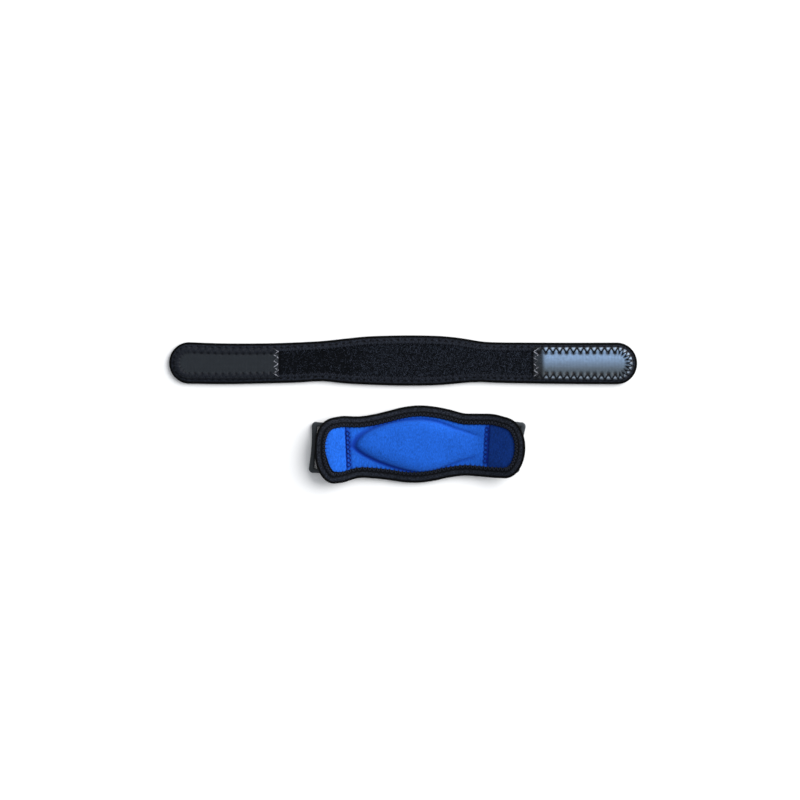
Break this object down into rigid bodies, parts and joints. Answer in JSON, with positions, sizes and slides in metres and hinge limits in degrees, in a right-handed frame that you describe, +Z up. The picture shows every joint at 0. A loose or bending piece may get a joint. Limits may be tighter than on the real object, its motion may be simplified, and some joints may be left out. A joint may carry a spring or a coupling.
{
  "type": "tennis elbow strap",
  "caption": "Forearm strap with hook ends beside its padded pressure plate, which has a moulded strap loop under each flap.",
  "frame": {"origin": "centre of the bounding box on the table the parts lie on", "axes": "+X along the strap, right in the picture; +Y across, from the pad to the strap; +Z up, the pile, hooks and lining facing up"},
  "size_m": [0.37, 0.1169, 0.018],
  "materials": {
    "strap_pile": "fuzzy loop pile on foam",
    "binding": "woven edge tape, zigzag stitched",
    "hook_patch": "moulded micro-hook tape, satin",
    "pad_back": "knit over foam",
    "lining": "brushed knit",
    "insert": "soft gel, hidden inside",
    "webbing": "woven webbing",
    "loop_plastic": "moulded, fine satin grain"
  },
  "bodies": {
    "strap_and_pad": {"strap_core": "strap_pile", "strap_binding": "binding", "hook_patch_left": "hook_patch", "hook_patch_right": "hook_patch", "pad_shell": "pad_back", "pad_lining": "lining", "pressure_insert": "insert", "pad_binding": "binding", "tab_left": "webbing", "tab_right": "webbing"},
    "left_loop": {"loop_left": "loop_plastic"},
    "right_loop": {"loop_right": "loop_plastic"}
  },
  "joints": [
    {"name": "left_loop_swivel", "type": "hinge", "parent": "strap_and_pad", "child": "left_loop", "pos_m": [-0.0578, -0.03085, 0.0029], "axis": [-0.0698, -0.9976, 0], "range_deg": [-20, 110]},
    {"name": "right_loop_swivel", "type": "hinge", "parent": "strap_and_pad", "child": "right_loop", "pos_m": [0.08, -0.02865, 0.0029], "axis": [0.1392, 0.9903, 0], "range_deg": [-20, 110]}
  ]
}
